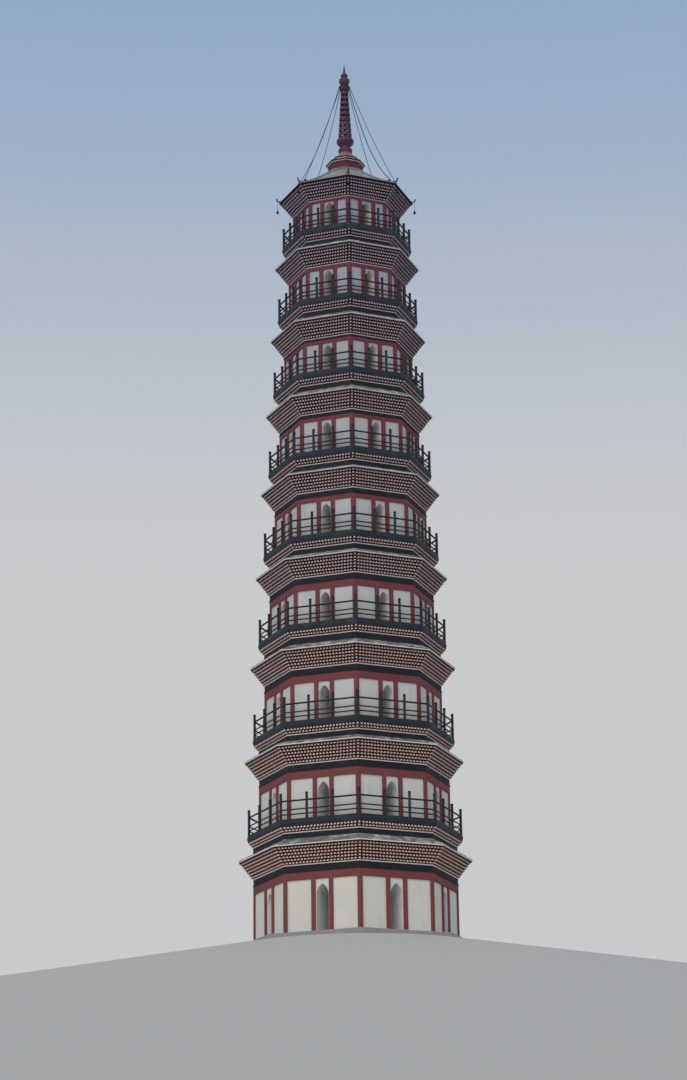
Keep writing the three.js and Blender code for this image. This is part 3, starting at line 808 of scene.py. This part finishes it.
# Hip ridges. A rounded rib of mortar down each corner of the roof, with a knob that holds
# the stay's iron eye, joined round the top by a low collar.
HIP_HALF = 0.036
HIP_HEIGHT = 0.058
HIP_SINK = 0.03
HIP_SECTION = [(-1, 0), (-0.96, 0.55), (-0.7, 0.85), (-0.3, 1), (0.3, 1), (0.7, 0.85), (0.96, 0.55), (1, 0)]
HIP_SHARPEST = radians(50)
ANCHOR_SHARE = 0.88
ANCHOR_RISE = 0.12
KNOB_SEGMENTS = 10
KNOB_PROFILE = [(0, -0.03), (0.044, -0.03), (0.046, 0.0), (0.04, 0.028), (0.024, 0.042), (0, 0.046)]
EYE_RADIUS = 0.02
EYE_WIRE = 0.007
EYE_WIRE_SIDES = 6
EYE_SEGMENTS = 12
EYE_SINK = 0.004
COLLAR_PROFILE = [(0, 0), (0.05, -0.03), (0.05, 0.03), (0.02, 0.055), (0, 0.055)]
anchor_corner = eave_corner * ANCHOR_SHARE
anchor_top = roof_height(anchor_corner) + ANCHOR_RISE
hip_mortar = weathered(
    "hip_mortar", linear(132, 132, 132), linear(58, 58, 60), linear(160, 160, 160),
    streaks=(6.0, 4.0, 0.5, 0.75), patches=(3.0, 0.5, 0.6), grit=(18.0, 0.008))
iron = weathered(
    "dark_iron", linear(34, 32, 38), linear(50, 38, 36), linear(50, 50, 56),
    streaks=(14.0, 6.0, 0.42, 0.6), patches=(9.0, 0.5, 0.5), grit=(60.0, 0.002), roughness=0.6, metallic=0.6)


def skinned(bm, loops):
    """A closed skin over a row of like rings of points, capped at both ends."""
    rings = []
    for loop in loops:
        points = [bm.verts.new(point) for point in loop]
        rings.append([bm.edges.new(pair) for pair in zip(points, points[1:] + points[:1])])
    for near, far in zip(rings, rings[1:]):
        bmesh.ops.bridge_loops(bm, edges=near + far)
    for end in (rings[0], rings[-1]):
        bmesh.ops.contextual_create(bm, geom=end)


def bar_along(bm, path, radii, sides):
    """A round bar along points of the plane through the axis and the front."""
    across = Vector((1, 0, 0))
    loops = []
    for index, (point, radius) in enumerate(zip(path, radii)):
        ahead = path[min(index + 1, len(path) - 1)] - path[max(index - 1, 0)]
        up = across.cross(ahead.normalized())
        turns = [2 * pi * side / sides for side in range(sides)]
        loops.append([point + radius * (cos(turn) * across + sin(turn) * up) for turn in turns])
    skinned(bm, loops)


def add_eye(bm, place, radius, wire):
    """An iron ring standing in the plane through the axis and the front."""
    centre = place + Vector((0, 0, radius))
    turns = [2 * pi * step / EYE_WIRE_SIDES for step in range(EYE_WIRE_SIDES)]
    section = [Vector((wire * cos(turn), 0, radius + wire * sin(turn))) for turn in turns]
    points = [bm.verts.new(centre + point) for point in section]
    edges = [bm.edges.new(pair) for pair in zip(points, points[1:] + points[:1])]
    bmesh.ops.spin(bm, geom=points + edges, cent=centre, axis=(1, 0, 0), dvec=(0, 0, 0),
                   angle=2 * pi, steps=EYE_SEGMENTS, use_merge=True, use_duplicate=False)


def on_corners(bm):
    """Turns a shape made towards the front onto the corner beside it, and repeats it."""
    bmesh.ops.rotate(bm, verts=bm.verts, cent=(0, 0, 0), matrix=Matrix.Rotation(CORNER, 3, "Z"))
    copied_round(bm, everything(bm))


def smooth_shaded(bm, steepest=radians(35)):
    """Shades a round shape smoothly, but for its sharp edges."""
    bmesh.ops.remove_doubles(bm, verts=bm.verts, dist=WELD)
    bmesh.ops.recalc_face_normals(bm, faces=bm.faces)
    for face in bm.faces:
        face.smooth = True
    for edge in bm.edges:
        edge.smooth = edge.is_manifold and edge.calc_face_angle(0) < steepest


bm = bmesh.new()
skinned(bm, [
    [(HIP_HALF * wide, -corner, roof_height(corner) + (HIP_HEIGHT + HIP_SINK) * up - HIP_SINK)
     for wide, up in HIP_SECTION]
    for corner in hip_line
])
on_corners(bm)
collar_low = slope[-1][1]
collar_in = ROOF_TOP_CORNER * FLAT_PER_CORNER
spin_outline(bm, [(collar_in + out, collar_low + up) for out, up in COLLAR_PROFILE])
smooth_shaded(bm, HIP_SHARPEST)
finish_piece(bm, "hip_ridges", hip_mortar, "roof_hips_and_bells")
bm = bmesh.new()
add_turned(bm, KNOB_PROFILE, (0, -anchor_corner, roof_height(anchor_corner) + HIP_HEIGHT), KNOB_SEGMENTS)
eye_foot = Vector((0, -anchor_corner, anchor_top - 2 * EYE_RADIUS - EYE_SINK))
add_eye(bm, eye_foot, EYE_RADIUS - EYE_WIRE, EYE_WIRE)
on_corners(bm)
smooth_shaded(bm)
finish_piece(bm, "stay_eyes", iron, "roof_hips_and_bells")

# Hooks and bells. An up-turned iron hook with a small head stands out of every corner, and
# a flared iron bell with a clapper hangs from it on a thin rod.
HOOK_ROOT = 0.06
HOOK_REACH = 0.075
HOOK_RISE = 0.12
HOOK_BAR = 0.024
HOOK_TAPER = 0.35
HOOK_STEPS = 10
HOOK_SIDES = 8
HOOK_HEAD = [(0, -0.026), (0.018, -0.018), (0.026, 0), (0.018, 0.018), (0, 0.026)]
HOOK_HEAD_SINK = 0.01
HOOK_HEAD_SEGMENTS = 10
BELL_REACH = 0.05
BELL_DROP = 0.262
BELL_TALL = 0.095
BELL_MOUTH = 0.046
BELL_ROD = 0.005
BELL_SEGMENTS = 16
ROD_SEGMENTS = 6
CLAPPER_SEGMENTS = 8
BELL_PROFILE = [
    (0.9, 0.0), (1.0, 0.0), (0.98, 0.05), (0.8, 0.2), (0.64, 0.42), (0.57, 0.68), (0.5, 0.86), (0.32, 0.97),
    (0.14, 1.0), (0.14, 1.12), (0.0, 1.14),
]
BELL_LINING = [(0.0, 0.84), (0.42, 0.8), (0.52, 0.6), (0.7, 0.2), (0.9, 0.0)]
CLAPPER_PROFILE = [(0, 0.012), (0.016, 0.014), (0.018, 0.026), (0.004, 0.034), (0.004, 0.085), (0, 0.085)]
edge_height = roof_height(eave_corner)
hook_foot = edge_height + HIP_HEIGHT - HOOK_BAR
hook_line = [
    Vector((0, -(eave_corner - HOOK_ROOT), hook_foot)),
    Vector((0, -(eave_corner + HOOK_REACH / 2), hook_foot)),
    Vector((0, -(eave_corner + HOOK_REACH), hook_foot)),
    Vector((0, -(eave_corner + HOOK_REACH), edge_height + HOOK_RISE)),
]


def along_curve(ends, share):
    """A point on the smooth curve that three or four control points draw."""
    points = list(ends)
    while len(points) > 1:
        points = [near.lerp(far, share) for near, far in zip(points, points[1:])]
    return points[0]


bm = bmesh.new()
hook_path = [along_curve(hook_line, step / HOOK_STEPS) for step in range(HOOK_STEPS + 1)]
hook_radii = [HOOK_BAR * (1 - HOOK_TAPER * step / HOOK_STEPS) for step in range(HOOK_STEPS + 1)]
bar_along(bm, hook_path, hook_radii, HOOK_SIDES)
head_place = (0, -(eave_corner + HOOK_REACH), edge_height + HOOK_RISE - HOOK_HEAD_SINK)
add_turned(bm, HOOK_HEAD, head_place, HOOK_HEAD_SEGMENTS)
bell_out = eave_corner + BELL_REACH
crown = edge_height - BELL_DROP
mouth = crown - BELL_TALL
shell = [(BELL_MOUTH * wide, BELL_TALL * up) for wide, up in BELL_PROFILE]
lining = [(BELL_MOUTH * wide, BELL_TALL * up) for wide, up in BELL_LINING]
add_turned(bm, lining + shell[1:], (0, -bell_out, mouth), BELL_SEGMENTS)
rod = [(0, 0), (BELL_ROD, 0), (BELL_ROD, BELL_DROP + HOOK_RISE / 2), (0, BELL_DROP + HOOK_RISE / 2)]
add_turned(bm, rod, (0, -bell_out, crown), ROD_SEGMENTS)
add_turned(bm, CLAPPER_PROFILE, (0, -bell_out, mouth), CLAPPER_SEGMENTS)
on_corners(bm)
smooth_shaded(bm)
finish_piece(bm, "hooks_and_bells", iron, "roof_hips_and_bells")

# Drum. An eight-sided drum of red plaster that carries the spire, with a flared cornice
# edged in white and dark paint, a white neck and a dark cap.
DRUM_HALF = 0.54 * FLAT_PER_CORNER
CORNICE_HALF = 0.608 * FLAT_PER_CORNER
NECK_HALF = 0.432 * FLAT_PER_CORNER
CAP_HALF = 0.452 * FLAT_PER_CORNER
DRUM_FOOT = 0.9553
FLARE_FOOT = 1.19
CORNICE_FOOT = 1.243
CORNICE_MIDDLE = 1.257
CORNICE_TOP = 1.305
NECK_FOOT = 1.325
CAP_FOOT = 1.413
DRUM_TOP = 1.447
CORNICE_BACK = 0.06
CORNICE_STEPS = (0.05, 0.022)
CORNICE_JOINT = 0.004
WHITE_LINE_WEAR = 0.004
DARK_LINE_WEAR = 0.005
drum_plaster = weathered(
    "drum_red_plaster", linear(98, 46, 66), linear(54, 32, 48), linear(110, 64, 84),
    streaks=(9.0, 2.2, 0.45, 0.6), patches=(3.4, 0.5, 0.5), grit=(30.0, 0.003))


def above_eave(profile):
    """Heights counted from the top eave, as heights above the ground."""
    return [(wide, top["tip"] + height) for wide, height in profile]


bm = bmesh.new()
flare_half = CORNICE_HALF - CORNICE_STEPS[0]
spin_outline(bm, above_eave([
    (0, DRUM_FOOT), (DRUM_HALF, DRUM_FOOT), (DRUM_HALF, FLARE_FOOT), (flare_half, CORNICE_FOOT),
    (flare_half, CORNICE_TOP - CORNICE_JOINT), (NECK_HALF, NECK_FOOT), (0, NECK_FOOT),
]), closed=False)
finish_piece(bm, "drum_body", drum_plaster, "spire_drum")
bm = bmesh.new()
inside = CORNICE_HALF - CORNICE_BACK
line_half = CORNICE_HALF - CORNICE_STEPS[1]
spin_outline(bm, above_eave(ring(inside, line_half, CORNICE_FOOT - CORNICE_JOINT, CORNICE_MIDDLE)))
spin_outline(bm, above_eave([(0, NECK_FOOT), (NECK_HALF, NECK_FOOT), (NECK_HALF, CAP_FOOT), (0, CAP_FOOT)]),
             closed=False)
soften(bm, WHITE_LINE_WEAR)
finish_piece(bm, "drum_white_lines", white_limewash_and_light, "spire_drum")
bm = bmesh.new()
spin_outline(bm, above_eave(ring(inside, CORNICE_HALF, CORNICE_MIDDLE, CORNICE_TOP)))
spin_outline(bm, above_eave([(0, CAP_FOOT), (CAP_HALF, CAP_FOOT), (CAP_HALF, DRUM_TOP), (0, DRUM_TOP)]),
             closed=False)
soften(bm, DARK_LINE_WEAR)
finish_piece(bm, "drum_dark_lines", band_paint, "spire_drum")

# Spire base. A flared foot of faded orange plaster under two dark red bulbs.
ROUND_STEPS = 48
SPAN_STEPS = 4
FOOT_PROFILE = [(0.4, 1.4473), (0.352, 1.51), (0.27, 1.59), (0.222, 1.645), (0.198, 1.675), (0.19, 1.69)]
BULB_PROFILE = [
    (0.19, 1.69), (0.196, 1.705), (0.21, 1.74), (0.219, 1.785), (0.21, 1.832), (0.166, 1.888), (0.147, 1.92),
    (0.168, 1.95), (0.22, 2.003), (0.258, 2.058), (0.27, 2.1), (0.252, 2.17), (0.2, 2.228), (0.15, 2.275),
]
orange_plaster = weathered(
    "faded_orange_plaster", linear(158, 104, 110), linear(96, 62, 72), linear(176, 132, 122),
    streaks=(12.0, 3.0, 0.45, 0.55), patches=(5.0, 0.5, 0.5), grit=(34.0, 0.002))
spire_paint = weathered(
    "spire_dark_red_paint", linear(86, 52, 70), linear(38, 28, 42), linear(114, 78, 94),
    streaks=(14.0, 5.0, 0.45, 0.55), patches=(6.0, 0.5, 0.5), grit=(40.0, 0.002), roughness=0.6)


def rounded(points):
    """A smooth line through the measured points of a profile."""
    padded = [points[0], *points, points[-1]]
    line = []
    for span in zip(padded, padded[1:], padded[2:], padded[3:]):
        for step in range(SPAN_STEPS):
            t = step / SPAN_STEPS
            line.append(tuple(
                0.5 * (2 * b + (c - a) * t
                       + (2 * a - 5 * b + 4 * c - d) * t * t
                       + (3 * b - a - 3 * c + d) * t ** 3)
                for a, b, c, d in zip(*span)))
    return line + [points[-1]]


def turned_solid(bm, profile):
    """A solid of revolution about the tower's axis, closed at its foot and its top."""
    line = above_eave([(0, profile[0][1]), *profile, (0, profile[-1][1])])
    spin_outline(bm, line, ROUND_STEPS, closed=False)


bm = bmesh.new()
turned_solid(bm, rounded(FOOT_PROFILE))
smooth_shaded(bm)
finish_piece(bm, "spire_orange_foot", orange_plaster, "spire_base")
bm = bmesh.new()
turned_solid(bm, rounded(BULB_PROFILE))
smooth_shaded(bm)
finish_piece(bm, "spire_bulbs", spire_paint, "spire_base")

# Mast and rings. An iron mast carries nine open rings, each a deep hoop with a rolled edge on
# four spokes, and they grow smaller towards the top.
RINGS = 9
FIRST_RING = 2.333
RING_PITCH = 0.181
RING_TALL = 0.118
RING_RADII = (0.207, 0.122)
RING_WIDTH = 0.038
RING_WAIST = 0.003
HOOP_ROLL = 0.012
HOOP_ROLL_TALL = 0.014
HOOP_BEVEL = 0.006
SPOKE_HALF = 0.011
SPOKE_SIDES = 6
MAST_RADIUS = 0.042
MAST_FOOT = 2.2753
bm = bmesh.new()
mast_top = FIRST_RING + (RINGS - 1) * RING_PITCH + RING_TALL / 2
turned_solid(bm, [(MAST_RADIUS, MAST_FOOT), (MAST_RADIUS, mast_top)])
for number in range(RINGS):
    radius = RING_RADII[0] + (RING_RADII[1] - RING_RADII[0]) * number / (RINGS - 1)
    middle = FIRST_RING + number * RING_PITCH
    low = middle - RING_TALL / 2
    high = middle + RING_TALL / 2
    inner = radius - RING_WIDTH
    spin_outline(bm, above_eave([
        (inner, low + HOOP_BEVEL), (inner + HOOP_BEVEL, low), (radius - HOOP_ROLL, low),
        (radius, low + HOOP_ROLL_TALL), (radius - RING_WAIST, middle), (radius, high - HOOP_ROLL_TALL),
        (radius - HOOP_ROLL, high), (inner + HOOP_BEVEL, high), (inner, high - HOOP_BEVEL),
    ]), ROUND_STEPS)
    reach = radius - RING_WIDTH / 2
    height = top["tip"] + middle
    spokes = bmesh.new()
    spoke_ends = (Vector((0, -reach, height)), Vector((0, reach, height)))
    bar_along(spokes, spoke_ends, [SPOKE_HALF, SPOKE_HALF], SPOKE_SIDES)
    bmesh.ops.spin(spokes, geom=everything(spokes), cent=(0, 0, 0), axis=(0, 0, 1), dvec=(0, 0, 0),
                   angle=pi / 2, steps=1, use_merge=False, use_duplicate=True)
    merge_into(bm, spokes)
smooth_shaded(bm)
finish_piece(bm, "mast_and_rings", spire_paint, "spire_mast")

# Finial. A bowl that opens into a disc, then a ball, an onion and a dark iron point that
# ends in a thin rod.
BOWL_PROFILE = [(0.09, 3.8403), (0.11, 3.855), (0.15, 3.89), (0.158, 3.93), (0.163, 3.975), (0.163, 4.005)]
BALL_PROFILE = [
    (0.125, 4.04), (0.1, 4.068), (0.148, 4.13), (0.166, 4.2), (0.148, 4.27), (0.07, 4.325), (0.112, 4.378),
    (0.098, 4.425), (0.05, 4.485), (0.03, 4.545), (0.024, 4.565),
]
POINT_PROFILE = [
    (0, 4.555), (0.03, 4.565), (0.028, 4.605), (0.016, 4.665), (0.011, 4.725), (0.008, 4.79), (0.002, 4.83),
    (0, 4.83),
]
POINT_STEPS = 16
bm = bmesh.new()
turned_solid(bm, rounded(BOWL_PROFILE) + rounded(BALL_PROFILE))
smooth_shaded(bm)
finish_piece(bm, "finial_ball", spire_paint, "spire_finial")
bm = bmesh.new()
spin_outline(bm, above_eave(POINT_PROFILE), POINT_STEPS, closed=False)
smooth_shaded(bm)
finish_piece(bm, "finial_point", iron, "spire_finial")

# Stays. Eight steel cables run from an iron collar round the disc to the eyes on the hips.
# Each hangs in a curve of its own, and one of them is thicker than the rest.
DISC_EDGE = 3.99
DISC_RADIUS = 0.163
STAY_SAGS = (0.25, 1.05, 0.45, 0.6, 0.3, 0.8, 1.15, 0.2)
THICK_STAY = 1
STAY_RADIUS = 0.009
THICK_STAY_RADIUS = 0.0125
STAY_STEPS = 40
STAY_SIDES = 8
STAY_COLLAR = 0.012
STAY_COLLAR_PLAY = 0.0006
STAY_COLLAR_HALF = 0.015
STAY_COLLAR_WEAR = 0.003
stay_steel = weathered(
    "stay_steel", linear(54, 60, 70), linear(34, 36, 42), linear(78, 86, 96),
    streaks=(20.0, 3.0, 0.45, 0.5), patches=(8.0, 0.5, 0.5), grit=(90.0, 0.001), roughness=0.5, metallic=0.5)
bm = bmesh.new()
start = Vector((0, -(DISC_RADIUS + STAY_COLLAR / 2), top["tip"] + DISC_EDGE))
end = Vector((0, -anchor_corner, anchor_top))
for number, sag in enumerate(STAY_SAGS):
    middle = start.lerp(end, 0.5) - Vector((0, 0, sag))
    path = [along_curve((start, middle, end), step / STAY_STEPS) for step in range(STAY_STEPS + 1)]
    radius = THICK_STAY_RADIUS if number == THICK_STAY else STAY_RADIUS
    cable = bmesh.new()
    bar_along(cable, path, [radius] * len(path), STAY_SIDES)
    turned_to_hip = Matrix.Rotation(CORNER + number * 2 * pi / SIDES, 3, "Z")
    bmesh.ops.rotate(cable, verts=cable.verts, cent=(0, 0, 0), matrix=turned_to_hip)
    merge_into(bm, cable)
smooth_shaded(bm)
finish_piece(bm, "stay_cables", stay_steel, "spire_stays")
bm = bmesh.new()
hoop = ring(DISC_RADIUS + STAY_COLLAR_PLAY, DISC_RADIUS + STAY_COLLAR, DISC_EDGE - STAY_COLLAR_HALF,
            DISC_EDGE + STAY_COLLAR_HALF)
spin_outline(bm, above_eave(hoop), ROUND_STEPS)
soften(bm, STAY_COLLAR_WEAR, radians(40))
smooth_shaded(bm)
finish_piece(bm, "stay_collar", iron, "spire_stays")

# Stage. A pale floor that falls away from the plinth, because the camera looks up from
# lower ground, and one broad soft light under an even pale sky.
STAGE_PROFILE = [(0, -0.004), (4.4, -0.004), (95.0, -19.0), (380.0, -21.0)]
STAGE_STEPS = 96
SKY_RISE = (0.28, 0.51)
SUN_ENERGY = 1.05
SUN_SPREAD = radians(50)
SUN_TILT = radians(52)
SUN_LEFT_OF_EYE = radians(21)
bm = bmesh.new()
spin_outline(bm, STAGE_PROFILE, STAGE_STEPS, closed=False)
mesh = bpy.data.meshes.new("pale_floor")
bm.to_mesh(mesh)
bm.free()
floor_material = bpy.data.materials.new("pale_floor")
floor_material.use_nodes = True
floor_shader = floor_material.node_tree.nodes["Principled BSDF"]
floor_shader.inputs["Base Color"].default_value = linear(206, 196, 182)
floor_shader.inputs["Roughness"].default_value = 0.9
mesh.materials.append(floor_material)
floor = bpy.data.objects.new("pale_floor", mesh)
scene.collection.objects.link(floor)

world = bpy.data.worlds.new("pale_sky")
world.use_nodes = True
sky = world.node_tree
direction = add_node(sky, "ShaderNodeTexCoord")
split = add_node(sky, "ShaderNodeSeparateXYZ")
height = add_node(sky, "ShaderNodeMapRange", interpolation_type="SMOOTHSTEP")
height.inputs["From Min"].default_value = SKY_RISE[0]
height.inputs["From Max"].default_value = SKY_RISE[1]
shade = add_node(sky, "ShaderNodeMix", data_type="RGBA")
shade.inputs[6].default_value = linear(200, 201, 203)
shade.inputs[7].default_value = linear(144, 168, 197)
sky.links.new(direction.outputs["Generated"], split.inputs[0])
sky.links.new(split.outputs["Z"], height.inputs["Value"])
sky.links.new(height.outputs["Result"], shade.inputs[0])
sky.links.new(shade.outputs[2], sky.nodes["Background"].inputs["Color"])
sky.nodes["Background"].inputs["Strength"].default_value = 1.0
scene.world = world
scene.view_settings.view_transform = "Standard"

sun_data = bpy.data.lights.new("soft_light", "SUN")
sun_data.energy = SUN_ENERGY
sun_data.angle = SUN_SPREAD
sun_data.color = (1.0, 0.95, 0.86)
sun = bpy.data.objects.new("soft_light", sun_data)
sun.rotation_euler = (SUN_TILT, 0, EYE_AZIMUTH - SUN_LEFT_OF_EYE)
scene.collection.objects.link(sun)
